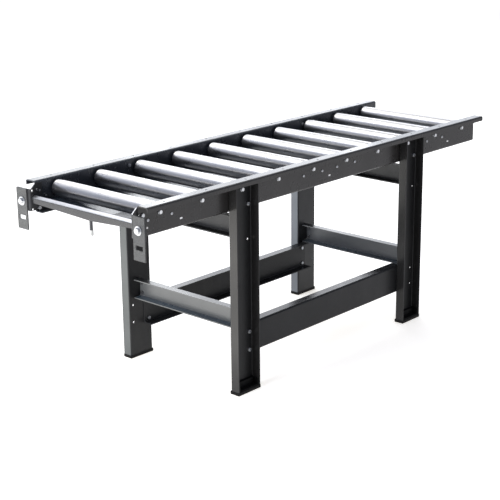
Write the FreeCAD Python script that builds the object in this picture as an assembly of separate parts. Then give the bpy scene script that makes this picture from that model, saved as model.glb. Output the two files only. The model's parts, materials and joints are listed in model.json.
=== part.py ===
import FreeCAD, Part
import os
import math

# Roller outfeed table: two folded side rails carry ten free-running steel rollers over
# a shallow drip tray, on four channel legs with cross-members and stretchers.
# Millimetres, +Z up. X runs along the table, Y across it, Z = 0 is the floor.
# Lengths along the table are first laid out from roller 1's axle, and the whole
# model is then shifted by -X_MID, which puts the origin under the middle of it.

V = FreeCAD.Vector
os.makedirs("parts", exist_ok=True)

# ------------------------------------------------------------------ driving dimensions
N_ROLLERS = 10
PITCH = 200.0             # roller spacing
TOP = 800.0               # top of the rails above the floor

RAIL_X0, RAIL_X1 = -97.0, 1898.0
RAIL_T = 4.0
RAIL_OUT = 266.0          # |Y| of the rail web's outer face
RAIL_IN = RAIL_OUT - RAIL_T
RAIL_DEPTH = 112.0
RAIL_FLANGE = 45.0        # top flange, turned outward from the web's outer face
RAIL_LIP = 19.5           # down-turned lip on the flange's outer edge
RAIL_FOOT = 36.0          # lower flange, turned inward
BEND_R = 3.0              # inside bend radius of the 4 mm sheet

AXLE_Z = TOP - 40.0
ROLLER_R = 30.0
ROLLER_WALL = 3.0
ROLLER_HALF = 252.0       # half length of a roller tube
AXLE_R = 7.5
BEARING_R, BEARING_W = 17.5, 11.0
RUN_CLEAR = 0.05          # radial running clearance, bearing to housing
M8_R = 4.0
M8_HEAD_AF, M8_HEAD_H = 13.0, 5.3
M8_NUT_H = 6.5

LEG_W = 117.0             # leg web width along X
LEG_D = 40.5              # leg depth, from the rail web's outer face outward
LEG_T = 4.0
LEG_FRONT_X = 332.0
LEG_REAR_X = 1348.0
LEG_Z0, LEG_Z1 = 12.0, 792.0
LEG_COL = 38.0            # hole columns each side of the leg's middle
LEG_ROWS = (147.5, 217.5) # stretcher hole rows
LEG_SPARE_Z = 571.0       # spare hole below the rail
LEG_TOP_ROWS = (702.0, 776.0)
LEG_HOLE_R = 4.5

STR_Z0, STR_Z1 = 130.0, 245.0
STR_D = 40.5
STR_OVERLAP = 43.0        # stretcher end past the leg's inner edge
CM_X = 25.0               # cross-member's front edge from the leg's front edge
CM_D = 36.0
CM_LOW_Z0, CM_LOW_Z1 = 245.6, 322.6
CM_TOP_Z0, CM_TOP_Z1 = 589.0, 667.0
CM_HALF = 263.0           # half length of a cross-member

CM_BOLT_EDGE = 18.4       # cross-member bolts from its upper and lower face
CM_BOLT_Y = 251.0
TAB_W, TAB_T = 34.0, 4.0  # welded tabs on the legs, behind the cross-members' webs

TRAY_T = 2.0
TRAY_HALF = 257.8         # |Y| of the tray's outer faces
TRAY_V_Y, TRAY_V_Z = -47.0, 713.0    # fold line along the tray, and its underside
TRAY_SIDE_Z = 725.0       # underside at the sides
TRAY_WALL_Z = 748.5       # top of the side walls
TRAY_X0, TRAY_X1 = -115.0, 1884.0
TRAY_FRONT_Z = 741.3      # front wall, up to the fold of its lip
TRAY_LIP_X, TRAY_LIP_Z = -104.0, 750.3
TRAY_REAR_Z = 742.0
DRAIN_X, DRAIN_Y = -99.0, -32.0
DRAIN_R, DRAIN_BORE = 6.0, 4.2
DRAIN_Z0 = 671.0
NIPPLE_R, NIPPLE_Z0 = 7.4, 656.0

BR_T = 4.0
BR_XF = -124.0            # front face of the bracket's front leg
BR_X1 = -69.5
BR_Z0, BR_Z1 = 695.5, 793.0
BR_CHAM_X, BR_FRONT_TOP = -99.0, 775.0
BR_OUT = 328.0            # |Y| of the front leg's free edge
PL_T = 5.0
PL_Y0, PL_Y1 = 272.5, 327.5
PL_Z0, PL_Z1 = 625.0, 775.0
PL_WIN = (283.0, 317.0, 661.0, 677.0)
HOOK_Y, HOOK_Z = 298.0, 728.5
HOOK_WASHER_R, HOOK_WASHER_T = 16.0, 2.5
M12_HEAD_AF, M12_HEAD_H = 19.0, 7.5
HOOK_TRAVEL = 12.0        # height adjustment each way
M12_R = 6.0

FOOT_OVER = 1.5
FOOT_H = 12.0

HEAD_FRONT = BR_XF - 0.3 - PL_T - HOOK_WASHER_T - M12_HEAD_H   # front face of the hook bolt's head
X_MID = (HEAD_FRONT + RAIL_X1) / 2.0


# ------------------------------------------------------------------ helpers
def vec3(plane, a, b, c):
    """Point of a section plane: (a, b) in the plane, c along its normal."""
    if plane == "YZ":
        return V(c, a, b)
    if plane == "XZ":
        return V(a, c, b)
    return V(a, b, c)


def normal(plane):
    return {"YZ": V(1, 0, 0), "XZ": V(0, 1, 0), "XY": V(0, 0, 1)}[plane]


def bent(plane, pts, t, ri, c0, c1):
    """Folded sheet: the mid line's corner points, thickness, inside bend radius, start and end."""
    rm = ri + t / 2.0
    n = len(pts)
    dirs = []
    for i in range(n - 1):
        dx, dy = pts[i + 1][0] - pts[i][0], pts[i + 1][1] - pts[i][1]
        l = math.hypot(dx, dy)
        dirs.append((dx / l, dy / l))

    def side(s):
        segs = []
        cur = (pts[0][0] - dirs[0][1] * s * t / 2, pts[0][1] + dirs[0][0] * s * t / 2)
        for i in range(1, n - 1):
            d1, d2 = dirs[i - 1], dirs[i]
            cross = d1[0] * d2[1] - d1[1] * d2[0]
            dot = max(-1.0, min(1.0, d1[0] * d2[0] + d1[1] * d2[1]))
            phi = math.acos(dot)
            if phi < 0.02:
                continue
            turn = 1.0 if cross > 0 else -1.0
            r_mid = rm if phi > 0.5 else 6.0 * rm
            ln = r_mid * math.tan(phi / 2)
            p = pts[i]
            a = (p[0] - d1[0] * ln, p[1] - d1[1] * ln)
            b = (p[0] + d2[0] * ln, p[1] + d2[1] * ln)
            cen = (a[0] - d1[1] * turn * r_mid, a[1] + d1[0] * turn * r_mid)
            r = r_mid - s * turn * t / 2
            a2 = (a[0] - d1[1] * s * t / 2, a[1] + d1[0] * s * t / 2)
            b2 = (b[0] - d2[1] * s * t / 2, b[1] + d2[0] * s * t / 2)
            mx, my = (a[0] + b[0]) / 2 - cen[0], (a[1] + b[1]) / 2 - cen[1]
            ml = math.hypot(mx, my)
            mid = (cen[0] + mx / ml * r, cen[1] + my / ml * r)
            segs.append(("L", cur, a2))
            segs.append(("A", a2, mid, b2))
            cur = b2
        end = (pts[-1][0] - dirs[-1][1] * s * t / 2, pts[-1][1] + dirs[-1][0] * s * t / 2)
        segs.append(("L", cur, end))
        return segs

    left, right = side(1.0), side(-1.0)
    edges = []

    def p3(q):
        return vec3(plane, q[0], q[1], c0)

    def add(seg):
        if seg[0] == "L":
            if (p3(seg[1]) - p3(seg[2])).Length > 1e-6:
                edges.append(Part.LineSegment(p3(seg[1]), p3(seg[2])).toShape())
        else:
            edges.append(Part.Arc(p3(seg[1]), p3(seg[2]), p3(seg[3])).toShape())

    for sg in left:
        add(sg)
    add(("L", left[-1][-1], right[-1][-1]))
    for sg in reversed(right):
        if sg[0] == "L":
            add(("L", sg[2], sg[1]))
        else:
            add(("A", sg[3], sg[2], sg[1]))
    add(("L", right[0][1], left[0][1]))
    wire = Part.Wire(edges)
    return Part.Face(wire).extrude(normal(plane) * (c1 - c0))


def box(x0, x1, y0, y1, z0, z1):
    return Part.makeBox(x1 - x0, y1 - y0, z1 - z0, V(x0, y0, z0))


def cyl(axis, r, c0, c1, a, b):
    """Cylinder along 'X', 'Y' or 'Z' from c0 to c1; a, b are the other two coordinates in X, Y, Z order."""
    if axis == "X":
        return Part.makeCylinder(r, c1 - c0, V(c0, a, b), V(1, 0, 0))
    if axis == "Y":
        return Part.makeCylinder(r, c1 - c0, V(a, c0, b), V(0, 1, 0))
    return Part.makeCylinder(r, c1 - c0, V(a, b, c0), V(0, 0, 1))


def tube(axis, ro, ri, c0, c1, a, b):
    return cyl(axis, ro, c0, c1, a, b).cut(cyl(axis, ri, c0 - 1, c1 + 1, a, b))


def hexa(axis, af, c0, c1, a, b, turn=0.0):
    """Hexagonal prism with its flats' distance af."""
    r = af / math.sqrt(3.0)
    pts = []
    for k in range(7):
        w = math.radians(60 * k + turn)
        p, q = r * math.cos(w), r * math.sin(w)
        if axis == "X":
            pts.append(V(c0, a + p, b + q))
        elif axis == "Y":
            pts.append(V(a + p, c0, b + q))
        else:
            pts.append(V(a + p, b + q, c0))
    d = {"X": V(1, 0, 0), "Y": V(0, 1, 0), "Z": V(0, 0, 1)}[axis]
    return Part.Face(Part.makePolygon(pts)).extrude(d * (c1 - c0))


def hex_round(axis, af, c0, c1, a, b, turn=0.0, crown_at=1):
    """Hexagon whose outer end has the usual turned crown: a cone trims the corners."""
    h = hexa(axis, af, c0, c1, a, b, turn)
    r_in, r_out = af / 2.0 - 0.1, af / math.sqrt(3.0) + 0.3
    depth = (r_out - r_in) * 0.58
    d = {"X": V(1, 0, 0), "Y": V(0, 1, 0), "Z": V(0, 0, 1)}[axis]
    o = {"X": V(0, a, b), "Y": V(a, 0, b), "Z": V(a, b, 0)}[axis]
    if crown_at > 0:
        body = cyl(axis, r_out, c0 - 1, c1 - depth, a, b).fuse(
            Part.makeCone(r_out, r_in, depth, o + d * (c1 - depth), d))
    else:
        body = cyl(axis, r_out, c0 + depth, c1 + 1, a, b).fuse(
            Part.makeCone(r_out, r_in, depth, o + d * (c0 + depth), d * -1))
    return h.common(body)


def mirror_y(s):
    return s.mirror(V(0, 0, 0), V(0, 1, 0))


def soften(s, r, pick):
    """Round the edges that pick() accepts."""
    es = [e for e in s.Edges if pick(e)]
    if not es:
        return s
    try:
        f = s.makeFillet(r, es)
        return f if f.isValid() and f.Volume > 0 else s
    except Exception:
        return s


nodes = {}


def put(name, shape):
    nodes[name] = shape


def group(shapes):
    return Part.makeCompound(shapes)


def solid(s):
    """One clean solid out of a boolean result."""
    s = s.removeSplitter()
    return s.Solids[0] if len(s.Solids) == 1 else s


# ------------------------------------------------------------------ side rails (near side, then mirrored)
roller_x = [PITCH * i for i in range(N_ROLLERS)]
t2 = RAIL_T / 2.0
rail_pts = [
    (-(RAIL_OUT + RAIL_FLANGE - t2), TOP - RAIL_LIP),
    (-(RAIL_OUT + RAIL_FLANGE - t2), TOP - t2),
    (-(RAIL_OUT - t2), TOP - t2),
    (-(RAIL_OUT - t2), TOP - RAIL_DEPTH + t2),
    (-(RAIL_OUT - RAIL_FOOT), TOP - RAIL_DEPTH + t2),
]
PAIR_ROLLERS = (0, 4, 5, 8)       # tray screws sit either side of rollers 1, 5, 6 and 9
PAIR_DX, PAIR_Z = 55.0, TOP - 57.0
SLOT_X, SLOT_Z = (-61.0, 100.0, 900.0, 1700.0), TOP - 83.0
SLOT_R, SLOT_HALF = 3.25, 3.75
FLANGE_Y = RAIL_OUT + RAIL_FLANGE / 2.0     # line of the top flange holes
BR_BOLTS = ((-79.0, 764.0), (-87.0, 702.0))
BR_HOLES = ((-113.5, 769.0), (-113.5, 700.0), (-92.2, 769.0))   # the last one goes through the rail too
BR_HOLE_R = 4.0
FLANGE_HOLE_R = 4.2


def y_hole(r, x, z, y0=-290.0, y1=-240.0):
    return cyl("Y", r, y0, y1, x, z)


rail = bent("YZ", rail_pts, RAIL_T, BEND_R, RAIL_X0, RAIL_X1)
cuts = []
for x in roller_x:
    cuts.append(y_hole(M8_R + 0.3, x, AXLE_Z))
    cuts.append(cyl("Z", FLANGE_HOLE_R, TOP - 10, TOP + 5, x, -FLANGE_Y))
for i in PAIR_ROLLERS:
    for s in (-1, 1):
        cuts.append(y_hole(3.2, roller_x[i] + s * PAIR_DX, PAIR_Z))
for x in SLOT_X:
    cuts.append(box(x - SLOT_HALF, x + SLOT_HALF, -290, -240, SLOT_Z - SLOT_R, SLOT_Z + SLOT_R)
                .fuse(y_hole(SLOT_R, x - SLOT_HALF, SLOT_Z)).fuse(y_hole(SLOT_R, x + SLOT_HALF, SLOT_Z)))
leg_mid = (LEG_FRONT_X + LEG_W / 2.0, LEG_REAR_X + LEG_W / 2.0)
for xm in leg_mid:
    for s in (-1, 1):
        for z in LEG_TOP_ROWS:
            cuts.append(y_hole(LEG_HOLE_R, xm + s * LEG_COL, z))
for x, z in BR_BOLTS:
    cuts.append(y_hole(LEG_HOLE_R, x, z))
cuts.append(y_hole(BR_HOLE_R, BR_HOLES[2][0], BR_HOLES[2][1]))
rail = solid(rail.cut(cuts))
put("near_rail", rail)
put("far_rail", mirror_y(rail))

# ------------------------------------------------------------------ rollers
for i, x in enumerate(roller_x):
    tag = "%02d" % (i + 1)
    tb = tube("Y", ROLLER_R, ROLLER_R - ROLLER_WALL, -ROLLER_HALF, ROLLER_HALF, x, AXLE_Z)
    tb = soften(tb, 0.9, lambda e: e.Curve.TypeId == "Part::GeomCircle"
                and abs(e.Curve.Radius - ROLLER_R) < 1e-6)
    put("roller_tube_" + tag, tb)
    # pressed steel bearing housing in each end, seen from the end as a dished disc
    y1 = ROLLER_HALF - 1.2
    prof = [
        (BEARING_R + RUN_CLEAR, y1 - 15.0), (ROLLER_R - ROLLER_WALL, y1 - 15.0),
        (ROLLER_R - ROLLER_WALL, y1), (ROLLER_R - ROLLER_WALL - 4.0, y1),
        (ROLLER_R - ROLLER_WALL - 6.5, y1 - 2.2), (12.0, y1 - 2.2), (12.0, y1 - 4.4),
        (BEARING_R + RUN_CLEAR, y1 - 4.4), (BEARING_R + RUN_CLEAR, y1 - 15.0),
    ]
    face = Part.Face(Part.makePolygon([V(x + r, y, AXLE_Z) for r, y in prof]))
    cap = face.revolve(V(x, 0, AXLE_Z), V(0, 1, 0), 360)
    put("roller_ends_" + tag, group([mirror_y(cap), cap]))

bearings, axles, axle_bolts, axle_washers = [], [], [], []
brg_y1 = ROLLER_HALF - 1.2 - 4.4 - 0.3
for x in roller_x:
    for s in (-1, 1):
        b = tube("Y", BEARING_R, AXLE_R, brg_y1 - BEARING_W, brg_y1, x, AXLE_Z)
        groove = tube("Y", 15.0, 10.5, brg_y1 - 0.8, brg_y1 + 1, x, AXLE_Z)
        b = b.cut(groove)
        bearings.append(b if s > 0 else mirror_y(b))
    ax = cyl("Y", AXLE_R, -RAIL_IN, RAIL_IN, x, AXLE_Z)
    for s in (-1, 1):
        collar = cyl("Y", 10.5, brg_y1, RAIL_IN, x, AXLE_Z)
        ax = ax.fuse(collar if s > 0 else mirror_y(collar))
    for s in (-1, 1):
        bore = cyl("Y", M8_R + 0.2, RAIL_IN - 24, RAIL_IN + 1, x, AXLE_Z)
        ax = ax.cut(bore if s > 0 else mirror_y(bore))
    axles.append(solid(ax))
    # where a leg's web covers the rail, the bolt goes through both
    over_leg = any(x0 < x < x0 + LEG_W for x0 in (LEG_FRONT_X, LEG_REAR_X))
    for s in (-1, 1):
        y0 = RAIL_OUT + (LEG_T if over_leg else 0.0)
        w = tube("Y", 8.0, M8_R + 0.2, y0, y0 + 1.6, x, AXLE_Z)
        bolt = hex_round("Y", M8_HEAD_AF, y0 + 1.6, y0 + 1.6 + M8_HEAD_H, x, AXLE_Z, 12.0 * roller_x.index(x))
        bolt = bolt.fuse(cyl("Y", M8_R, RAIL_OUT - 20, y0 + 1.6, x, AXLE_Z))
        axle_washers.append(w if s > 0 else mirror_y(w))
        axle_bolts.append(bolt if s > 0 else mirror_y(bolt))
put("roller_bearings", group(bearings))
put("roller_axles", group(axles))
put("axle_bolts", group([solid(b) for b in axle_bolts]))
put("axle_washers", group(axle_washers))

# ------------------------------------------------------------------ drip tray
# welded from sheet: a floor with a shallow fold along it, side walls, a front wall with a
# slanted lip and a rear wall, all edge to edge
def floor_z(y):
    """Underside of the tray's floor at y."""
    edge = -TRAY_HALF if y < TRAY_V_Y else TRAY_HALF
    return TRAY_V_Z + (TRAY_SIDE_Z - TRAY_V_Z) * (y - TRAY_V_Y) / (edge - TRAY_V_Y)


def yz_prism(pts, x0, x1):
    vs = [V(x0, y, z) for y, z in pts]
    return Part.Face(Part.makePolygon(vs + vs[:1])).extrude(V(x1 - x0, 0, 0))


def floor_half(y_edge):
    s = yz_prism([(y_edge, TRAY_SIDE_Z), (TRAY_V_Y, TRAY_V_Z), (TRAY_V_Y, TRAY_V_Z + TRAY_T), (y_edge, TRAY_SIDE_Z + TRAY_T)],
                 TRAY_X0 + TRAY_T, TRAY_X1 - TRAY_T)
    return soften(s, 1.5, lambda e: e.Length > 500 and abs(e.CenterOfMass.y - y_edge) < 0.01
                  and abs(e.CenterOfMass.z - TRAY_SIDE_Z) < 0.01)


def side_wall(s):
    y0, y1 = s * TRAY_HALF, s * (TRAY_HALF - TRAY_T)
    w = yz_prism([(y0, floor_z(y0) + TRAY_T), (y1, floor_z(y1) + TRAY_T), (y1, TRAY_WALL_Z), (y0, TRAY_WALL_Z)],
                 TRAY_X0 + TRAY_T, TRAY_X1 - TRAY_T)
    # its front corner is cut off under the lip
    k = (TRAY_LIP_Z - TRAY_FRONT_Z) / (TRAY_LIP_X - TRAY_X0 - 1.0)
    xa, za = TRAY_X0 + TRAY_T, TRAY_FRONT_Z - 1.1
    cut = Part.Face(Part.makePolygon([V(xa - 1, -300, za - k), V(xa + 20, -300, za + 20 * k), V(xa - 1, -300, za + 20 * k),
                                      V(xa - 1, -300, za - k)])).extrude(V(0, 600, 0))
    w = w.cut(cut)
    for i in PAIR_ROLLERS:
        for d in (-1, 1):
            w = w.cut(cyl("Y", 3.2, -300, 300, roller_x[i] + d * PAIR_DX, PAIR_Z))
    return solid(w)


drain_hole = cyl("Z", DRAIN_BORE, 690, 740, DRAIN_X, DRAIN_Y)
put("tray_floor", group([floor_half(-TRAY_HALF), solid(floor_half(TRAY_HALF).cut(drain_hole))]))
put("tray_side_walls", group([side_wall(-1), side_wall(1)]))
under_floor = yz_prism([(-300, 600), (300, 600), (300, floor_z(300)), (TRAY_V_Y, TRAY_V_Z), (-300, floor_z(-300))],
                       TRAY_X0 - 20, TRAY_X1 + 20)
front_wall = bent("XZ", [(TRAY_X0 + TRAY_T / 2, 700), (TRAY_X0 + TRAY_T / 2, TRAY_FRONT_Z), (TRAY_LIP_X, TRAY_LIP_Z)],
                  TRAY_T, 1.2, -TRAY_HALF, TRAY_HALF)
put("tray_front_wall", solid(front_wall.cut(under_floor)))
rear_wall = box(TRAY_X1 - TRAY_T, TRAY_X1, -TRAY_HALF, TRAY_HALF, 700, TRAY_REAR_Z)
put("tray_rear_wall", solid(rear_wall.cut(under_floor)))

spacers, screws = [], []
for i in PAIR_ROLLERS:
    for s in (-1, 1):
        x = roller_x[i] + s * PAIR_DX
        for side in (-1, 1):
            sp = tube("Y", 6.0, 2.95, TRAY_HALF, RAIL_IN, x, PAIR_Z)
            spacers.append(sp if side > 0 else mirror_y(sp))
            y0 = RAIL_OUT
            sc = cyl("Y", 5.2, y0, y0 + 3.0, x, PAIR_Z)
            sc = soften(sc, 2.2, lambda e: e.Curve.TypeId == "Part::GeomCircle" and abs(e.CenterOfMass.y - y0 - 3.0) < 0.05)
            sc = sc.fuse(cyl("Y", 2.9, y0 - 11.5, y0, x, PAIR_Z))
            sc = sc.cut(hexa("Y", 4.0, y0 + 1.2, y0 + 4, x, PAIR_Z))
            screws.append(solid(sc) if side > 0 else solid(mirror_y(sc)))
put("tray_spacers", group(spacers))
put("tray_screws", group(screws))

# drain: spigot welded under the floor beside the fold, with a hose nipple on its end
above_floor = yz_prism([(-TRAY_HALF, floor_z(-TRAY_HALF)), (TRAY_V_Y, TRAY_V_Z), (TRAY_HALF, floor_z(TRAY_HALF)),
                        (TRAY_HALF, 790), (-TRAY_HALF, 790)], DRAIN_X - 20, DRAIN_X + 20)
z_fl = floor_z(DRAIN_Y)
spg = tube("Z", DRAIN_R, DRAIN_BORE, DRAIN_Z0, z_fl + 2, DRAIN_X, DRAIN_Y)
spg = spg.fuse(tube("Z", 9.0, DRAIN_BORE, z_fl - 2.0, z_fl + 2, DRAIN_X, DRAIN_Y))
put("drain_spigot", solid(spg.cut(above_floor)))
nip = tube("Z", NIPPLE_R, DRAIN_R + 0.05, DRAIN_Z0 - 2, DRAIN_Z0 + 5, DRAIN_X, DRAIN_Y)
nip = nip.fuse(tube("Z", NIPPLE_R, DRAIN_BORE, NIPPLE_Z0, DRAIN_Z0, DRAIN_X, DRAIN_Y))
nip = soften(nip, 0.8, lambda e: e.Curve.TypeId == "Part::GeomCircle"
             and abs(e.Curve.Radius - NIPPLE_R) < 1e-6 and e.CenterOfMass.z < NIPPLE_Z0 + 0.1)
put("drain_nipple", solid(nip))

# ------------------------------------------------------------------ legs
CM_Z = {"low": (CM_LOW_Z0, CM_LOW_Z1), "top": (CM_TOP_Z0, CM_TOP_Z1)}


def make_leg(x0):
    """A near-side leg: web against the rail's web, flanges outward, welded tabs inward for the cross-members."""
    yb = -(RAIL_OUT)                     # back face of the leg's web
    m = LEG_T / 2.0
    pts = [(x0 + m, -(RAIL_OUT + LEG_D)), (x0 + m, yb - m), (x0 + LEG_W - m, yb - m), (x0 + LEG_W - m, -(RAIL_OUT + LEG_D))]
    leg = bent("XY", pts, LEG_T, BEND_R, LEG_Z0, LEG_Z1)
    xm = x0 + LEG_W / 2.0
    hs = []
    for s in (-1, 1):
        for z in LEG_ROWS + LEG_TOP_ROWS + (LEG_SPARE_Z,):
            hs.append(cyl("Y", LEG_HOLE_R, -285, -255, xm + s * LEG_COL, z))
    for x in roller_x:
        if x0 < x < x0 + LEG_W:          # this roller's axle bolt goes through the leg too
            hs.append(cyl("Y", M8_R + 0.3, -285, -255, x, AXLE_Z))
    leg = leg.cut(hs)
    # welded tabs behind the cross-members' webs
    xt = x0 + CM_X + CM_D
    for z0, z1 in CM_Z.values():
        tab = box(xt, xt + TAB_T, yb - 0.5, yb + TAB_W, z0 + 6, z1 - 6)
        for z in (z0 + CM_BOLT_EDGE, z1 - CM_BOLT_EDGE):
            tab = tab.cut(cyl("X", LEG_HOLE_R, xt - 5, xt + 10, -CM_BOLT_Y, z))
        leg = leg.fuse(tab)
    return solid(leg)


legs = {"near_front_leg": make_leg(LEG_FRONT_X), "near_rear_leg": make_leg(LEG_REAR_X)}
legs["far_front_leg"] = mirror_y(legs["near_front_leg"])
legs["far_rear_leg"] = mirror_y(legs["near_rear_leg"])
for k in ("near_front_leg", "far_front_leg", "near_rear_leg", "far_rear_leg"):
    put(k, legs[k])

feet = []
for x0 in (LEG_FRONT_X, LEG_REAR_X):
    y0, y1 = -(RAIL_OUT + LEG_D + FOOT_OVER), -(RAIL_OUT - FOOT_OVER)
    pad = box(x0 - FOOT_OVER, x0 + LEG_W + FOOT_OVER, y0, y1, 0, FOOT_H)
    pad = soften(pad, 2.0, lambda e: abs(e.tangentAt(e.FirstParameter).z) > 0.9 or e.CenterOfMass.z < 0.1)
    plug = box(x0 + LEG_T + 0.4, x0 + LEG_W - LEG_T - 0.4, -(RAIL_OUT + LEG_D - 2.0), -(RAIL_OUT + LEG_T + 0.4), FOOT_H, FOOT_H + 26)
    plug = soften(plug, 4.0, lambda e: abs(e.tangentAt(e.FirstParameter).z) > 0.9)
    plug = plug.cut(box(x0 + LEG_T + 6, x0 + LEG_W - LEG_T - 6, -(RAIL_OUT + LEG_D + 10.0), -(RAIL_OUT + LEG_T + 10), FOOT_H + 4, FOOT_H + 40))
    ft = solid(pad.fuse(plug))
    feet += [ft, mirror_y(ft)]
put("leg_feet", group(feet))

# ------------------------------------------------------------------ cross-members (open towards -X)
for nm, x0 in (("front", LEG_FRONT_X), ("rear", LEG_REAR_X)):
    for lv, z0, z1 in (("top", CM_TOP_Z0, CM_TOP_Z1), ("lower", CM_LOW_Z0, CM_LOW_Z1)):
        xf, xb = x0 + CM_X, x0 + CM_X + CM_D
        pts = [(xf, z1 - 2), (xb - 2, z1 - 2), (xb - 2, z0 + 2), (xf, z0 + 2)]
        cm = bent("XZ", pts, 4.0, BEND_R, -CM_HALF, CM_HALF)
        for s in (-1, 1):
            for z in (z0 + CM_BOLT_EDGE, z1 - CM_BOLT_EDGE):
                cm = cm.cut(cyl("X", LEG_HOLE_R, xb - 12, xb + 5, s * CM_BOLT_Y, z))
        put("%s_%s_crossmember" % (nm, lv), solid(cm))

# ------------------------------------------------------------------ stretchers (open to the inside)
sx0 = LEG_FRONT_X + LEG_W - STR_OVERLAP
sx1 = LEG_REAR_X + STR_OVERLAP
m = 2.0
pts = [(-(RAIL_OUT - STR_D), STR_Z1 - m), (-(RAIL_OUT - m), STR_Z1 - m), (-(RAIL_OUT - m), STR_Z0 + m), (-(RAIL_OUT - STR_D), STR_Z0 + m)]
st = bent("YZ", pts, 4.0, BEND_R, sx0, sx1)
str_cols = (leg_mid[0] + LEG_COL, leg_mid[1] - LEG_COL)
for x in str_cols:
    for z in LEG_ROWS:
        st = st.cut(cyl("Y", LEG_HOLE_R, -285, -250, x, z))
st = solid(st)
put("near_stretcher", st)
put("far_stretcher", mirror_y(st))

# ------------------------------------------------------------------ front brackets and hook plates
m = BR_T / 2.0
pts = [(BR_X1, -(RAIL_IN - m)), (BR_XF + m, -(RAIL_IN - m)), (BR_XF + m, -BR_OUT)]
br = bent("XY", pts, BR_T, 3.0, BR_Z0, BR_Z1)
# sloped front corner above the hook plate
slope = Part.Face(Part.makePolygon([V(BR_CHAM_X, 0, BR_Z1 + 0.01), V(BR_XF - 5, 0, BR_Z1 + 0.01), V(BR_XF - 5, 0, BR_FRONT_TOP),
                                    V(BR_XF + BR_T, 0, BR_FRONT_TOP), V(BR_CHAM_X, 0, BR_Z1 + 0.01)])).extrude(V(0, -400, 0))
br = br.cut(slope)
br = br.cut(y_hole(M8_R + 0.02, BR_BOLTS[0][0], BR_BOLTS[0][1]))       # tapped for the upper bolt
br = br.cut(y_hole(LEG_HOLE_R, BR_BOLTS[1][0], BR_BOLTS[1][1]))
for x, z in BR_HOLES:
    br = br.cut(y_hole(BR_HOLE_R, x, z))
slot = box(BR_XF - 5, BR_XF + 10, -HOOK_Y - 6.3, -HOOK_Y + 6.3, HOOK_Z - HOOK_TRAVEL, HOOK_Z + HOOK_TRAVEL)
for z in (HOOK_Z - HOOK_TRAVEL, HOOK_Z + HOOK_TRAVEL):
    slot = slot.fuse(cyl("X", 6.3, BR_XF - 5, BR_XF + 10, -HOOK_Y, z))
br = solid(br.cut(slot))
put("near_front_bracket", br)
put("far_front_bracket", mirror_y(br))

px1 = BR_XF - 0.3
plate = box(px1 - PL_T, px1, -PL_Y1, -PL_Y0, PL_Z0, PL_Z1)
plate = soften(plate, 1.2, lambda e: abs(e.tangentAt(e.FirstParameter).x) > 0.9)
plate = soften(plate, 0.5, lambda e: e.CenterOfMass.x < px1 - PL_T + 0.01)
wa, wb, wc, wd = PL_WIN
plate = plate.cut(box(px1 - 20, px1 + 5, -wb, -wa, wc, wd))
plate = solid(plate.cut(cyl("X", M12_R + 0.25, px1 - 20, px1 + 5, -HOOK_Y, HOOK_Z)))
put("near_hook_plate", plate)
put("far_hook_plate", mirror_y(plate))

xh = px1 - PL_T
xw = xh - HOOK_WASHER_T
washer_f = tube("X", HOOK_WASHER_R, M12_R + 0.25, xw, xh, -HOOK_Y, HOOK_Z)
washer_f = soften(washer_f, 0.5, lambda e: e.Curve.TypeId == "Part::GeomCircle" and abs(e.Curve.Radius - HOOK_WASHER_R) < 1e-6)
xb = BR_XF + BR_T + 0.3
washer_b = tube("X", 12.0, M12_R + 0.25, xb, xb + 2.5, -HOOK_Y, HOOK_Z)
bolt = hex_round("X", M12_HEAD_AF, xw - M12_HEAD_H, xw, -HOOK_Y, HOOK_Z, 8.0, -1)
bolt = bolt.fuse(cyl("X", M12_R, xw, xb + 2.5 + 14.0, -HOOK_Y, HOOK_Z))
bolt = solid(bolt)
nut = hexa("X", M12_HEAD_AF, xb + 2.5, xb + 12.5, -HOOK_Y, HOOK_Z, 20.0).cut(cyl("X", M12_R + 0.02, xb, xb + 20, -HOOK_Y, HOOK_Z))
hook_set = [bolt, washer_f, washer_b, nut]
put("near_hook_fasteners", group(hook_set))
put("far_hook_fasteners", group([mirror_y(q) for q in hook_set]))


# ------------------------------------------------------------------ bolts with nuts
def bolt_y(x, z, head_y, grip, out, turn=0.0):
    """Bolt along Y on the near side. head_y: face under the head; out = -1: head outside, +1: head inside. Returns bolt, nut."""
    if out < 0:      # head towards -Y, shank runs +Y through the grip
        b = hex_round("Y", M8_HEAD_AF, head_y - M8_HEAD_H, head_y, x, z, turn, -1)
        b = b.fuse(cyl("Y", M8_R, head_y, head_y + grip + M8_NUT_H + 3.0, x, z))
        n = hex_round("Y", M8_HEAD_AF, head_y + grip, head_y + grip + M8_NUT_H, x, z, turn + 17, 1)
        n = n.cut(cyl("Y", M8_R + 0.02, head_y, head_y + grip + 20, x, z))
    else:            # head towards +Y (inside), shank runs -Y
        b = hex_round("Y", M8_HEAD_AF, head_y, head_y + M8_HEAD_H, x, z, turn, 1)
        b = b.fuse(cyl("Y", M8_R, head_y - grip - M8_NUT_H - 3.0, head_y, x, z))
        n = hex_round("Y", M8_HEAD_AF, head_y - grip - M8_NUT_H, head_y - grip, x, z, turn + 17, -1)
        n = n.cut(cyl("Y", M8_R + 0.02, head_y - grip - 20, head_y, x, z))
    return solid(b), solid(n)


def both(pairs):
    bs, ns = [], []
    for b, n in pairs:
        bs += [b, mirror_y(b)]
        ns += [n, mirror_y(n)]
    return group(bs), group(ns)


prs = []
for xm in leg_mid:
    for s in (-1, 1):
        for j, z in enumerate(LEG_TOP_ROWS):
            # leg web outside, rail web inside: head inside, nut in the leg's open side
            prs.append(bolt_y(xm + s * LEG_COL, z, -RAIL_IN, LEG_T + RAIL_T, 1, 25.0 * j))
b, n = both(prs)
put("leg_bolts", b)
put("leg_nuts", n)

prs = []
for x in str_cols:
    for j, z in enumerate(LEG_ROWS):
        prs.append(bolt_y(x, z, -(RAIL_OUT - 4.0), 8.0, 1, 14.0 + 30.0 * j))
b, n = both(prs)
put("stretcher_bolts", b)
put("stretcher_nuts", n)

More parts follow.
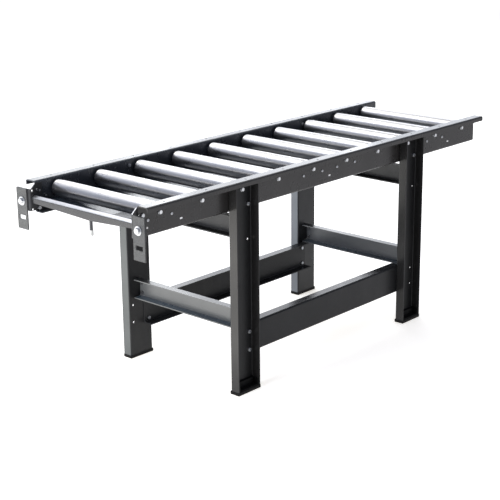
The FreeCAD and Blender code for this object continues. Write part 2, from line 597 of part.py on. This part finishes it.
# the upper bracket bolt sits in the bracket's own thread, the lower one has a nut inside
x, z = BR_BOLTS[0]
top_bolt = hex_round("Y", M8_HEAD_AF, -RAIL_OUT - M8_HEAD_H, -RAIL_OUT, x, z, 9.0, -1)
top_bolt = solid(top_bolt.fuse(cyl("Y", M8_R, -RAIL_OUT, -(RAIL_IN - BR_T), x, z)))
x, z = BR_BOLTS[1]
low_bolt, low_nut = bolt_y(x, z, -RAIL_OUT, RAIL_T + BR_T, -1, 43.0)
put("bracket_bolts", group([top_bolt, low_bolt, mirror_y(top_bolt), mirror_y(low_bolt)]))
put("bracket_nuts", group([low_nut, mirror_y(low_nut)]))

bs, ns = [], []
for x0 in (LEG_FRONT_X, LEG_REAR_X):
    for z0, z1 in CM_Z.values():
        xb = x0 + CM_X + CM_D
        xf, xn = xb - 4.0, xb + TAB_T
        for z in (z0 + CM_BOLT_EDGE, z1 - CM_BOLT_EDGE):
            for s in (-1, 1):
                y = s * CM_BOLT_Y
                b = hex_round("X", M8_HEAD_AF, xf - M8_HEAD_H, xf, y, z, 11.0, -1)
                b = b.fuse(cyl("X", M8_R, xf, xn + M8_NUT_H + 3.0, y, z))
                n = hex_round("X", M8_HEAD_AF, xn, xn + M8_NUT_H, y, z, 4.0, 1).cut(cyl("X", M8_R + 0.02, xb - 5, xn + 20, y, z))
                bs.append(solid(b))
                ns.append(solid(n))
put("crossmember_bolts", group(bs))
put("crossmember_nuts", group(ns))

# clips pressed into the rails' web slots from the inside: a flange on the web and a plug through the slot
clips = []
for x in SLOT_X:
    plug = box(x - SLOT_HALF, x + SLOT_HALF, -(RAIL_OUT - 0.6), -RAIL_IN, SLOT_Z - SLOT_R + 0.1, SLOT_Z + SLOT_R - 0.1)
    flange = box(x - SLOT_HALF, x + SLOT_HALF, -RAIL_IN, -(RAIL_IN - 1.5), SLOT_Z - 4.4, SLOT_Z + 4.4)
    for s in (-1, 1):
        plug = plug.fuse(cyl("Y", SLOT_R - 0.1, -(RAIL_OUT - 0.6), -RAIL_IN, x + s * SLOT_HALF, SLOT_Z))
        flange = flange.fuse(cyl("Y", 4.4, -RAIL_IN, -(RAIL_IN - 1.5), x + s * SLOT_HALF, SLOT_Z))
    clip = solid(plug.fuse(flange))
    clips += [clip, mirror_y(clip)]
put("slot_clips", group(clips))

# ------------------------------------------------------------------ write the parts
assert len(nodes) <= 60, len(nodes)
lo, hi = V(1e9, 1e9, 1e9), V(-1e9, -1e9, -1e9)
bad = 0
for name in nodes:
    s = nodes[name].copy()
    s.translate(V(-X_MID, 0, 0))
    if not s.isValid() or s.Volume <= 0:
        bad += 1
        print("not valid:", name, s.Volume)
    bb = s.BoundBox
    lo = V(min(lo.x, bb.XMin), min(lo.y, bb.YMin), min(lo.z, bb.ZMin))
    hi = V(max(hi.x, bb.XMax), max(hi.y, bb.YMax), max(hi.z, bb.ZMax))
    s.exportStep("parts/%s.step" % name)
print("nodes", len(nodes), "not valid", bad)
print("size", hi - lo, "low", lo, "high", hi, "X_MID", X_MID)
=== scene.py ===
import json
import math

import bpy
from mathutils import Matrix, Vector


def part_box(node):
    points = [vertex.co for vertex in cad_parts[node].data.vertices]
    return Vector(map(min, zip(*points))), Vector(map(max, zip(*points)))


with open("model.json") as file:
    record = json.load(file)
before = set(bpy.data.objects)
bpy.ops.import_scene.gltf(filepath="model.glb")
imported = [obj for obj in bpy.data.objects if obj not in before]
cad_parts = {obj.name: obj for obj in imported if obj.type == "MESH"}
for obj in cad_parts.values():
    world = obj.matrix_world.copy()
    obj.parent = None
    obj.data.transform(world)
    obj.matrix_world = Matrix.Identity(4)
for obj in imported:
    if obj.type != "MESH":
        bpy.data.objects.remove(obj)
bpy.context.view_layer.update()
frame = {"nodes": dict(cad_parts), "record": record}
nodes = frame["nodes"]


# ------------------------------------------------------------------ node helpers
class Mat:
    """A material with a Principled shader and small helpers for procedural detail in object space."""

    def __init__(self, name):
        self.mat = bpy.data.materials.new(name)
        self.mat.use_nodes = True
        self.nt = self.mat.node_tree
        self.nt.nodes.clear()
        self.out = self.nt.nodes.new("ShaderNodeOutputMaterial")
        self.bsdf = self.nt.nodes.new("ShaderNodeBsdfPrincipled")
        self.nt.links.new(self.bsdf.outputs[0], self.out.inputs[0])
        self.coord = self.nt.nodes.new("ShaderNodeTexCoord")

    def link(self, a, b):
        self.nt.links.new(a, b)

    def set(self, **kw):
        names = {"color": "Base Color", "rough": "Roughness", "metal": "Metallic", "ior": "IOR",
                 "spec": "Specular IOR Level", "coat": "Coat Weight", "coat_rough": "Coat Roughness",
                 "aniso": "Anisotropic", "tint": "Specular Tint"}
        for k, v in kw.items():
            self.bsdf.inputs[names[k]].default_value = v

    def mapped(self, scale=(1, 1, 1)):
        m = self.nt.nodes.new("ShaderNodeMapping")
        m.inputs["Scale"].default_value = scale
        self.link(self.coord.outputs["Object"], m.inputs["Vector"])
        return m.outputs[0]

    def noise(self, scale, detail=3.0, rough=0.5, stretch=(1, 1, 1), distort=0.0):
        n = self.nt.nodes.new("ShaderNodeTexNoise")
        n.inputs["Scale"].default_value = scale
        n.inputs["Detail"].default_value = detail
        n.inputs["Roughness"].default_value = rough
        n.inputs["Distortion"].default_value = distort
        self.link(self.mapped(stretch), n.inputs["Vector"])
        return n.outputs[0]

    def voronoi(self, scale, stretch=(1, 1, 1), feature="F1"):
        n = self.nt.nodes.new("ShaderNodeTexVoronoi")
        n.feature = feature
        n.inputs["Scale"].default_value = scale
        self.link(self.mapped(stretch), n.inputs["Vector"])
        return n.outputs["Distance"]

    def ramp(self, fac, stops):
        r = self.nt.nodes.new("ShaderNodeValToRGB")
        e = r.color_ramp.elements
        while len(e) < len(stops):
            e.new(0.5)
        for el, (p, c) in zip(e, stops):
            el.position = p
            el.color = (c, c, c, 1) if isinstance(c, (int, float)) else (*c, 1)
        self.link(fac, r.inputs[0])
        return r.outputs[0]

    def math(self, op, a, b):
        n = self.nt.nodes.new("ShaderNodeMath")
        n.operation = op
        for i, x in enumerate((a, b)):
            if isinstance(x, (int, float)):
                n.inputs[i].default_value = x
            else:
                self.link(x, n.inputs[i])
        return n.outputs[0]

    def mix(self, fac, a, b, mode="MIX"):
        n = self.nt.nodes.new("ShaderNodeMix")
        n.data_type = "RGBA"
        n.blend_type = mode
        for key, x in ((0, fac), (6, a), (7, b)):
            if isinstance(x, (int, float)):
                n.inputs[key].default_value = x
            elif isinstance(x, tuple):
                n.inputs[key].default_value = (*x, 1)
            else:
                self.link(x, n.inputs[key])
        return n.outputs[2]

    def bump(self, height, strength, dist, under=None):
        b = self.nt.nodes.new("ShaderNodeBump")
        b.inputs["Strength"].default_value = strength
        b.inputs["Distance"].default_value = dist
        self.link(height, b.inputs["Height"])
        if under is not None:
            self.link(under, b.inputs["Normal"])
        return b.outputs[0]

    def color(self, sock):
        self.link(sock, self.bsdf.inputs["Base Color"])

    def rough(self, sock):
        self.link(sock, self.bsdf.inputs["Roughness"])

    def normal(self, sock):
        self.link(sock, self.bsdf.inputs["Normal"])

    def xyz(self, out):
        n = self.nt.nodes.new("ShaderNodeSeparateXYZ")
        self.link(self.coord.outputs[out], n.inputs[0])
        return n.outputs

    def upward(self):
        """1 on faces that look up, 0 on the others."""
        return self.ramp(self.xyz("Normal")[2], [(0.80, 0.0), (0.97, 1.0)])

    def forward(self):
        """1 on faces that look along -X, 0 on the others."""
        return self.ramp(self.math("MULTIPLY", self.xyz("Normal")[0], -1.0), [(0.80, 0.0), (0.97, 1.0)])

    def sloping(self):
        """1 on faces that slope up and back from the front (-X), 0 on the others."""
        n = self.xyz("Normal")
        k = self.math("SUBTRACT", self.math("MULTIPLY", n[2], 0.77), self.math("MULTIPLY", n[0], 0.63))
        return self.ramp(k, [(0.945, 0.0), (0.975, 1.0)])

    def above(self, z):
        """1 above the height z (m), 0 below it."""
        return self.ramp(self.math("SUBTRACT", self.xyz("Object")[2], z - 0.5), [(0.4995, 0.0), (0.5005, 1.0)])


def scaled(c, k):
    return tuple(x * k for x in c)


def powder(name, base, rough=0.36, spec=0.5, grain=1.0, dust=0.5, top_rough=None, highlight_z=None, highlight_slope=False,
           front=None, front_rough=None, low_sheen=None, speck=1.0):
    """Fine-textured powder coat: orange peel, faint mottling, handling dust and a few rubbed, glossier patches.
    top_rough: how rough the upward faces are, smoothed by handling. highlight_z: above this height the sloping faces
    turn to bright metallic steel, a painted highlight of the strong light above and behind, and with highlight_slope so
    does a sloping cut edge.
    front, front_rough: colour and roughness of the faces that look along -X; the front colour is painted light.
    low_sheen: height (m) below which the upward faces carry a painted reflection of the given colour. speck: how many
    pale specks."""
    m = Mat(name)
    m.set(spec=spec)
    mottle = m.noise(7.0, 4.0, 0.6)
    fine = m.noise(380.0, 2.0, 0.55)
    c1 = m.mix(m.ramp(mottle, [(0.32, 0.0), (0.7, 1.0)]), scaled(base, 0.86), scaled(base, 1.12))
    c2 = m.mix(m.ramp(fine, [(0.45, 0.0), (0.75, 1.0)]), c1, scaled(base, 1.45))
    specks = m.voronoi(260.0)
    c3 = m.mix(m.ramp(specks, [(0.0, 0.5 * speck), (0.09, 0.0)]), c2, scaled(base, 3.0))
    streak = m.noise(4.0, 5.0, 0.65, (1, 1, 0.3))
    film = m.math("MULTIPLY", m.ramp(streak, [(0.5, 0.0), (0.78, 1.0)]), 0.10 * dust)
    col = m.mix(film, c3, (0.24, 0.23, 0.22))
    cloud = m.noise(11.0, 4.0, 0.6)
    r1 = m.ramp(cloud, [(0.3, rough - 0.045), (0.75, rough + 0.06)])
    rub = m.noise(46.0, 3.0, 0.7, (1, 1, 0.5))
    rr = m.mix(m.ramp(rub, [(0.6, 0.0), (0.75, 1.0)]), r1, scaled((1, 1, 1), rough + 0.10))
    if top_rough is not None:
        rr = m.mix(m.upward(), rr, m.ramp(cloud, [(0.3, top_rough - 0.03), (0.75, top_rough + 0.04)]))
    # Faces that look along -X get the front colour: painted light from the strong light on that side.
    if front is not None:
        col = m.mix(m.forward(), col, m.mix(m.ramp(mottle, [(0.32, 0.0), (0.7, 1.0)]), scaled(front, 0.92), scaled(front, 1.08)))
    if front_rough is not None:
        rr = m.mix(m.forward(), rr, m.ramp(cloud, [(0.3, front_rough - 0.03), (0.75, front_rough + 0.03)]))
    # Painted reflection: upward faces below the height get a paler bluish colour, mottled by the streak noise.
    if low_sheen is not None:
        z, sheen_colour = low_sheen
        low = m.math("MULTIPLY", m.upward(), m.math("SUBTRACT", 1.0, m.above(z)))
        col = m.mix(low, col, m.mix(m.ramp(streak, [(0.35, 0.0), (0.7, 1.0)]), scaled(sheen_colour, 0.8), scaled(sheen_colour, 1.15)))
    # Painted highlight: sloping faces that face the strong light above and behind turn to bright metallic steel.
    if highlight_z is not None or highlight_slope:
        highlight_mask = m.sloping()
        if highlight_z is not None:
            highlight_mask = m.math("MULTIPLY", highlight_mask, m.above(highlight_z))
        lines = m.noise(600.0, 2.0, 0.6, (1, 0.03, 1))
        col = m.mix(highlight_mask, col, m.ramp(lines, [(0.3, 0.58), (0.75, 0.72)]))
        rr = m.mix(highlight_mask, rr, m.ramp(lines, [(0.3, 0.34), (0.75, 0.28)]))
        m.link(highlight_mask, m.bsdf.inputs["Metallic"])
    m.color(col)
    m.rough(rr)
    b = m.bump(m.noise(650.0, 2.0, 0.5), 0.14 * grain, 0.0003)
    m.normal(m.bump(m.noise(24.0, 2.0, 0.5), 0.04, 0.0015, b))
    return m.mat


def steel(name, base, rough, streak_axis, streak=0.5, dark=0.85, spots=0.25):
    """Drawn or turned steel: fine streaks round or along the piece, cloudy plating and small stains."""
    m = Mat(name)
    m.set(metal=1.0, rough=rough)
    s = {"Y": (1, 0.03, 1), "X": (0.03, 1, 1), "Z": (1, 1, 0.03), "ring": (0.12, 1, 0.12)}[streak_axis]
    lines = m.noise(700.0, 2.0, 0.6, s)
    cloud = m.noise(17.0, 4.0, 0.6)
    c1 = m.mix(m.ramp(lines, [(0.3, 0.0), (0.75, 1.0)]), scaled(base, 1.0 - 0.14 * streak), base)
    c2 = m.mix(m.ramp(cloud, [(0.32, 0.0), (0.72, 1.0)]), scaled(base, dark), c1)
    stain = m.math("MULTIPLY", m.ramp(m.noise(95.0, 3.0, 0.7), [(0.60, 0.0), (0.72, 1.0)]), spots)
    m.color(m.mix(stain, c2, scaled(base, 0.5)))
    rr = m.ramp(cloud, [(0.3, rough + 0.05), (0.75, rough - 0.04)])
    m.rough(m.mix(m.ramp(lines, [(0.4, 0.0), (0.8, 1.0)]), rr, scaled((1, 1, 1), rough + 0.08)))
    m.normal(m.bump(lines, 0.10 * streak, 0.00012))
    return m.mat


def mill_grey(name, base, rough):
    """Grey coated plate with the speckle of a cast or blasted surface under it."""
    m = Mat(name)
    m.set(rough=rough, spec=0.5)
    grain = m.noise(240.0, 3.0, 0.65)
    blot = m.noise(38.0, 4.0, 0.6)
    c1 = m.mix(m.ramp(grain, [(0.33, 0.0), (0.66, 1.0)]), scaled(base, 0.5), scaled(base, 1.55))
    c2 = m.mix(m.ramp(blot, [(0.35, 0.0), (0.7, 0.7)]), c1, scaled(base, 0.75))
    m.color(c2)
    m.rough(m.ramp(grain, [(0.3, rough + 0.1), (0.7, rough - 0.1)]))
    b = m.bump(grain, 0.35, 0.0006)
    m.normal(m.bump(m.noise(900.0, 2.0, 0.5), 0.2, 0.0002, b))
    return m.mat


coat = (0.0165, 0.0165, 0.0170)
mats = {
    "rail_coat": powder("rail_coat", (0.0222, 0.0206, 0.0194), 0.28, 0.34, 0.5, top_rough=0.18, speck=0.4),
    # Legs: the paler colour on the -X faces is painted light.
    "leg_coat": powder("leg_coat", scaled(coat, 0.45), 0.40, 0.25, front=(0.0145, 0.014, 0.0135), front_rough=0.22),
    "beam_coat": powder("beam_coat", scaled(coat, 1.25), 0.33, 0.55, top_rough=0.28),
    # Bracket: its sloping cut edge carries a painted highlight as bright steel.
    "bracket_coat": powder("bracket_coat", coat, 0.36, 0.26, highlight_slope=True),
    "hook_coat": mill_grey("hook_coat", (0.047, 0.047, 0.045), 0.5),
    # Tray front wall: its sloping lip above 0.742 m carries a painted highlight as bright steel.
    "tray_coat": powder("tray_coat", (0.0185, 0.0180, 0.0180), 0.24, 0.55, 0.5, 0.3, highlight_z=0.7420),
    "roller_steel": steel("roller_steel", (0.62, 0.612, 0.605), 0.27, "Y", 0.8, 0.88),
    "housing_steel": steel("housing_steel", (0.55, 0.56, 0.57), 0.36, "ring", 0.5),
    "bearing_steel": steel("bearing_steel", (0.4, 0.41, 0.42), 0.3, "ring", 0.5),
    "axle_steel": steel("axle_steel", (0.5, 0.51, 0.52), 0.36, "ring", 0.6),
    "zinc": steel("zinc", (0.72, 0.73, 0.74), 0.33, "ring", 0.4),
    "screw_black": steel("screw_black", (0.17, 0.17, 0.18), 0.4, "ring", 0.3),
    "drain_steel": powder("drain_steel", (0.026, 0.026, 0.027), 0.38),
    "nipple_zinc": steel("nipple_zinc", (0.56, 0.56, 0.54), 0.34, "ring", 0.4),
    "clip_nylon": powder("clip_nylon", (0.84, 0.83, 0.80), 0.42, 0.45, 0.6, 0.2, speck=0.0),
    "foot_plastic": powder("foot_plastic", (0.0022, 0.0022, 0.0023), 0.6, 0.16, 1.6, 0.0),
}
# Nodes that share a slot with others get their own copies: darker zinc and coat are painted shade, paler coat is
# painted light, and some copies are also flatter.
mats["zinc_painted_shade"] = steel("zinc_painted_shade", (0.56, 0.57, 0.59), 0.36, "ring", 0.5, 0.8, 0.4)
mats["zinc_painted_deep_shade"] = steel("zinc_painted_deep_shade", (0.33, 0.34, 0.36), 0.38, "ring", 0.5, 0.8, 0.4)
# Painted shade: a darker copy of the coat for the stretchers.
mats["stretcher_coat_painted_shade"] = powder("stretcher_coat_painted_shade", scaled(coat, 0.9), 0.38, 0.16, top_rough=0.22)
# Inside of the tray: paler and bluer than the front wall, and its upward faces below 0.80 m get a paler bluish colour,
# painted reflection.
mats["tray_inner_coat_painted_reflection"] = powder("tray_inner_coat_painted_reflection", (0.024, 0.026, 0.029), 0.22, 0.7, 0.5, 0.3, low_sheen=(0.80, (0.044, 0.054, 0.067)))
# Far rail: paler and bluer than the near rail, painted light.
mats["far_rail_coat_painted_light"] = powder("far_rail_coat_painted_light", (0.0225, 0.0250, 0.0300), 0.27, 0.56, 0.5, top_rough=0.29)
# Painted shade: darker copies of the coat for the top cross-members and of the grey plate for the near hook plate.
mats["top_beam_coat_painted_shade"] = powder("top_beam_coat_painted_shade", coat, 0.36, 0.32)
mats["near_hook_coat_painted_shade"] = mill_grey("near_hook_coat_painted_shade", (0.038, 0.038, 0.037), 0.5)
# Painted shade: a darker zinc for the hook fasteners.
mats["zinc_painted_half_shade"] = steel("zinc_painted_half_shade", (0.62, 0.63, 0.64), 0.33, "ring", 0.4)
# Per-leg copies: the -X faces carry painted light of a strength set for each leg, and the far legs' other faces are
# paler as well, also painted light.
mats["near_front_leg_coat_painted_light"] = powder("near_front_leg_coat_painted_light", scaled(coat, 0.45), 0.40, 0.27, front=(0.0195, 0.0187, 0.0178), front_rough=0.22)
mats["far_front_leg_coat_painted_light"] = powder("far_front_leg_coat_painted_light", scaled(coat, 0.7), 0.38, 0.20, front=(0.072, 0.075, 0.072), front_rough=0.32)
mats["far_rear_leg_coat_painted_light"] = powder("far_rear_leg_coat_painted_light", coat, 0.38, 0.24, front=(0.120, 0.127, 0.136), front_rough=0.32)
# Lower cross-members: paler -X faces are painted light, and the upward faces below 0.29 m carry a bluish painted
# reflection.
mats["front_beam_coat_painted_light"] = powder("front_beam_coat_painted_light", scaled(coat, 1.25), 0.33, 0.55, top_rough=0.28,
                                 front=(0.060, 0.061, 0.060), low_sheen=(0.29, (0.085, 0.105, 0.125)))
mats["rear_beam_coat_painted_light"] = powder("rear_beam_coat_painted_light", scaled(coat, 1.25), 0.33, 0.55, top_rough=0.28,
                                front=(0.045, 0.047, 0.050), low_sheen=(0.29, (0.070, 0.085, 0.100)))
other = {
    "tray_screws": "zinc_painted_shade", "bracket_bolts": "zinc_painted_shade", "leg_bolts": "zinc_painted_deep_shade", "stretcher_bolts": "zinc_painted_deep_shade",
    "near_hook_fasteners": "zinc_painted_half_shade", "far_hook_fasteners": "zinc_painted_half_shade",
    "far_rail": "far_rail_coat_painted_light", "near_hook_plate": "near_hook_coat_painted_shade",
    "front_top_crossmember": "top_beam_coat_painted_shade", "rear_top_crossmember": "top_beam_coat_painted_shade",
    "near_front_leg": "near_front_leg_coat_painted_light", "far_front_leg": "far_front_leg_coat_painted_light", "far_rear_leg": "far_rear_leg_coat_painted_light",
    "front_lower_crossmember": "front_beam_coat_painted_light", "rear_lower_crossmember": "rear_beam_coat_painted_light",
    "near_stretcher": "stretcher_coat_painted_shade", "far_stretcher": "stretcher_coat_painted_shade",
    "tray_floor": "tray_inner_coat_painted_reflection", "tray_side_walls": "tray_inner_coat_painted_reflection", "tray_rear_wall": "tray_inner_coat_painted_reflection",
}
slot_of = {s["node"]: s["material_slot"] for s in frame["record"]["subparts"]}
for name, ob in nodes.items():
    mat = mats[other.get(name, slot_of[name])]
    if not ob.material_slots:
        ob.data.materials.append(mat)
    for s in ob.material_slots:
        s.material = mat


# ------------------------------------------------------------------ floor
# Pools of painted light glowing in the pale floor: centre (m), radius (m) and colour strength of each; a negative one
# is a patch of painted shade.
POOLS = (
    (-2.09, 0.68, 1.8, (3.20, 3.00, 2.60)),
    (-1.29, 1.78, 1.8, (3.00, 3.00, 2.80)),
    (-1.00, 0.05, 0.8, (2.40, 2.30, 2.10)),
    (5.00, 5.00, 5.5, (1.15, 1.25, 1.05)),
    (11.0, 10.0, 7.0, (0.60, 0.62, 0.60)),
    (1.25, -0.15, 0.9, (0.45, 0.47, 0.52)),
    (3.40, -1.90, 3.4, (-0.45, -0.44, -0.41)),
)


def floor_material():
    m = Mat("floor")
    m.set(rough=0.95, spec=0.0)
    m.color(m.mix(m.noise(1.4, 3.0, 0.6), (0.89, 0.89, 0.89), (0.91, 0.91, 0.91)))
    # The whole floor glows with painted light, slightly uneven, and the pools are added to it or taken from it; the
    # coats mirror this glow.
    glow = m.mix(m.noise(0.9, 2.0, 0.5), (0.54, 0.51, 0.45), (0.58, 0.55, 0.49))
    for x, y, r, col in POOLS:
        g = m.nt.nodes.new("ShaderNodeTexGradient")
        g.gradient_type = "QUADRATIC_SPHERE"
        mp = m.nt.nodes.new("ShaderNodeMapping")
        mp.inputs["Scale"].default_value = (1 / r, 1 / r, 1 / r)
        mp.inputs["Location"].default_value = (-x / r, -y / r, 0)
        m.link(m.coord.outputs["Object"], mp.inputs["Vector"])
        m.link(mp.outputs[0], g.inputs["Vector"])
        pool = m.mix(1.0, g.outputs[0], tuple(abs(c) for c in col), "MULTIPLY")
        glow = m.mix(1.0, glow, pool, "ADD" if col[0] > 0 else "SUBTRACT")
    m.link(glow, m.bsdf.inputs["Emission Color"])
    m.bsdf.inputs["Emission Strength"].default_value = 1.0
    return m.mat


me = bpy.data.meshes.new("floor")
S = 30.0
me.from_pydata([(-S, -S, -0.0005), (S, -S, -0.0005), (S, S, -0.0005), (-S, S, -0.0005)], [], [(0, 1, 2, 3)])
floor = bpy.data.objects.new("floor", me)
bpy.context.scene.collection.objects.link(floor)
floor.data.materials.append(floor_material())

# ------------------------------------------------------------------ camera
X_MID = 1898.0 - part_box("near_rail")[1][0] * 1000.0      # where the layout's zero lies
CX, CY, CZ = -2902.5572, -3299.7112, 1894.34
YAW, PITCH, ROLL, F = 0.8344, 0.2944, -0.0099, 1307.8761
fw = Vector((math.sin(YAW) * math.cos(PITCH), math.cos(YAW) * math.cos(PITCH), -math.sin(PITCH)))
rt = Vector((math.cos(YAW), -math.sin(YAW), 0.0))
up = rt.cross(fw)
r2 = rt * math.cos(ROLL) + up * math.sin(ROLL)
u2 = up * math.cos(ROLL) - rt * math.sin(ROLL)
cam_data = bpy.data.cameras.new("camera")
cam = bpy.data.objects.new("camera", cam_data)
bpy.context.scene.collection.objects.link(cam)
cam_data.sensor_width = 36.0
cam_data.lens = F / 500.0 * 36.0
cam_data.clip_start, cam_data.clip_end = 0.05, 100.0
pos = Vector(((CX - X_MID) / 1000.0, CY / 1000.0, CZ / 1000.0))
cam.matrix_world = Matrix(((r2.x, u2.x, -fw.x, pos.x), (r2.y, u2.y, -fw.y, pos.y), (r2.z, u2.z, -fw.z, pos.z), (0, 0, 0, 1)))
bpy.context.scene.camera = cam


# ------------------------------------------------------------------ light
def area(name, loc, target, w, h, power, color=(1, 1, 1)):
    d = bpy.data.lights.new(name, "AREA")
    d.shape = "RECTANGLE"
    d.size, d.size_y = w, h
    d.energy = power
    d.color = color
    o = bpy.data.objects.new(name, d)
    bpy.context.scene.collection.objects.link(o)
    o.location = loc
    o.rotation_euler = (Vector(target) - Vector(loc)).to_track_quat("-Z", "Y").to_euler()
    return o


bpy.context.scene.view_settings.view_transform = "Standard"
world = bpy.data.worlds.new("studio")
world.use_nodes = True
bg = world.node_tree.nodes["Background"]
bg.inputs["Color"].default_value = (0.77, 0.82, 1.0, 1.0)
bg.inputs["Strength"].default_value = 0.53
wt = world.node_tree                       # the studio's far wall is plain white where nothing else stands before it
wall = wt.nodes.new("ShaderNodeBackground")
wall.inputs["Color"].default_value = (1.0, 1.0, 1.0, 1.0)
wall.inputs["Strength"].default_value = 1.0
ray = wt.nodes.new("ShaderNodeLightPath")
both = wt.nodes.new("ShaderNodeMixShader")
wt.links.new(ray.outputs["Is Camera Ray"], both.inputs[0])
wt.links.new(bg.outputs[0], both.inputs[1])
wt.links.new(wall.outputs[0], both.inputs[2])
wt.links.new(both.outputs[0], wt.nodes["World Output"].inputs["Surface"])
bpy.context.scene.world = world

# Softboxes 7 m from the table's middle: azimuth from +Y towards +X, elevation, width and height (m), radiance and colour.
SOFTBOXES = (
    (270, 7, 3.0, 3.0, 15.5, (0.93, 0.99, 1.08)),
    (270, 8, 3.4, 3.0, 4.0, (0.95, 0.99, 1.05)),
    (48, 12, 2.0, 3.0, 2.6, (0.98, 1.00, 1.03)),
    (33, 12, 2.0, 3.0, 3.3, (0.98, 1.00, 1.01)),
    (63, 12, 2.0, 3.0, 1.7, (0.97, 1.00, 1.04)),
    (315, 52, 3.0, 3.0, 3.9, (0.97, 0.98, 1.03)),
    (0, 52, 3.0, 3.0, 2.8, (1.04, 1.02, 0.94)),
    (317, 29, 3.0, 2.4, 0.20, (0.85, 0.98, 1.16)),
    (32, 38, 4.4, 2.2, 1.25, (1.00, 1.00, 1.00)),
    (61, 37, 2.4, 2.2, 1.20, (1.00, 1.00, 1.00)),
)
# Weak cards behind and above, seen only as sheen: they give the rollers a highlight from the back and the ends.
CARDS = (
    (185, 36, 4.0, 2.4, 2.0, (1.00, 1.00, 1.00)),
    (90, 50, 3.0, 2.4, 1.8, (1.00, 1.00, 1.00)),
)
for az, el, wide, high, rad, col in SOFTBOXES + CARDS:
    a, e = math.radians(az), math.radians(el)
    z = max(0.6 + 7.0 * math.sin(e), high / 2 * math.cos(e) + 0.02)
    box = area("softbox_%03d_%02d" % (az, el), (7.0 * math.sin(a) * math.cos(e), 7.0 * math.cos(a) * math.cos(e), z),
               (0, 0, 0.6), wide, high, rad * wide * high * math.pi, col)
    box.visible_camera = False
    box.visible_diffuse = (az, el, wide, high, rad, col) in SOFTBOXES
    box.visible_glossy = rad < 10.0        # the strong front fill is diffused: it lights the coat but is not mirrored in it
